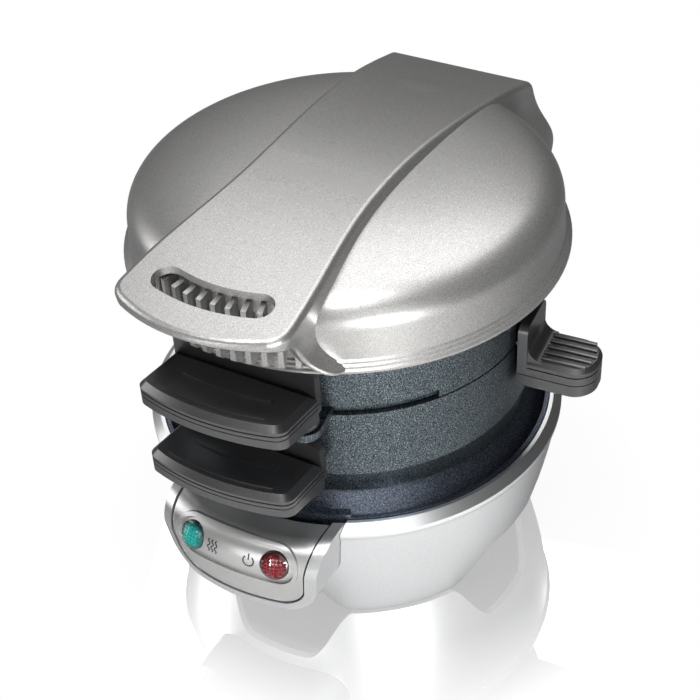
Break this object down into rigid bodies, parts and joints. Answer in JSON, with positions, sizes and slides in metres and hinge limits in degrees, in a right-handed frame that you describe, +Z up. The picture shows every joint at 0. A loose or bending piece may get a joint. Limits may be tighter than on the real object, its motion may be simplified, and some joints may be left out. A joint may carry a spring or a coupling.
{
  "type": "breakfast sandwich maker",
  "caption": "Round hinged sandwich cooker: base with lamps, two stacked cooking rings with handles, swing-out plate and domed lid.",
  "frame": {"origin": "on the table, in the plane of the four feet, under the middle of the overall box; the centre line of the cooking rings stands 6.4 mm to -X and 0.2 mm to -Y of it", "axes": "+Z up, -Y towards the handles and lamps, +X to the user's right, towards the swivel plate's handle"},
  "size_m": [0.1432, 0.1688, 0.1348],
  "materials": {
    "silver_paint": "satin metallic silver paint",
    "bright_silver_paint": "satin metallic silver paint",
    "black_plastic": "satin black",
    "nonstick": "speckled non-stick coating",
    "nonstick_tray": "speckled non-stick coating",
    "green_lens": "translucent green, waffle texture",
    "red_lens": "translucent red, waffle texture",
    "element_steel": "dull",
    "bracket_steel": "black coated",
    "pin_steel": "zinc plated",
    "rubber": "matt",
    "phenolic": "brown phenolic",
    "white_ceramic": "matt",
    "wire_sleeve": "woven glass sleeve"
  },
  "bodies": {
    "base": {"base_housing": "bright_silver_paint", "bottom_cover": "black_plastic", "bottom_cover_screws": "pin_steel", "rubber_feet": "rubber", "base_tray": "nonstick_tray", "lower_heating_plate": "nonstick", "lower_heating_element": "element_steel", "lower_thermostat": "phenolic", "lower_thermal_fuse": "white_ceramic", "control_panel_frame": "bright_silver_paint", "control_panel": "bright_silver_paint", "preheat_lens": "green_lens", "power_lens": "red_lens", "lamp_holders": "white_ceramic", "terminal_block": "white_ceramic", "base_wiring": "wire_sleeve", "cord_bushing": "black_plastic", "hinge_bracket": "bracket_steel", "hinge_bracket_screws": "pin_steel", "hinge_pin": "pin_steel"},
    "bottom_ring": {"bottom_ring": "nonstick", "bottom_ring_handle_upper": "black_plastic", "bottom_ring_handle_lower": "black_plastic", "bottom_ring_handle_screws": "pin_steel"},
    "top_ring": {"top_ring": "nonstick", "top_ring_handle_upper": "black_plastic", "top_ring_handle_lower": "black_plastic", "top_ring_handle_screws": "pin_steel", "pivot_pin": "pin_steel"},
    "cooking_plate": {"cooking_plate": "nonstick", "side_handle_upper": "black_plastic", "side_handle_lower": "black_plastic", "side_handle_screws": "pin_steel"},
    "cover": {"cover_shell": "silver_paint", "handle_comb": "silver_paint", "cover_liner": "nonstick_tray", "upper_heating_plate": "nonstick", "upper_heating_element": "element_steel", "upper_thermal_cutout": "phenolic", "cover_wiring": "wire_sleeve", "cover_screws": "pin_steel"}
  },
  "joints": [
    {"name": "bottom_ring_hinge", "type": "hinge", "parent": "base", "child": "bottom_ring", "pos_m": [-0.00644, 0.07665, 0.0947], "axis": [-1, 0, 0], "range_deg": [0, 20]},
    {"name": "top_ring_hinge", "type": "hinge", "parent": "bottom_ring", "child": "top_ring", "pos_m": [-0.00644, 0.07665, 0.0947], "axis": [-1, 0, 0], "range_deg": [0, 25]},
    {"name": "cover_hinge", "type": "hinge", "parent": "top_ring", "child": "cover", "pos_m": [-0.00644, 0.07665, 0.0947], "axis": [-1, 0, 0], "range_deg": [0, 65]},
    {"name": "plate_swivel", "type": "hinge", "parent": "top_ring", "child": "cooking_plate", "pos_m": [0.01146, -0.05955, 0.0846], "axis": [0, 0, -1], "range_deg": [0, 105]}
  ]
}
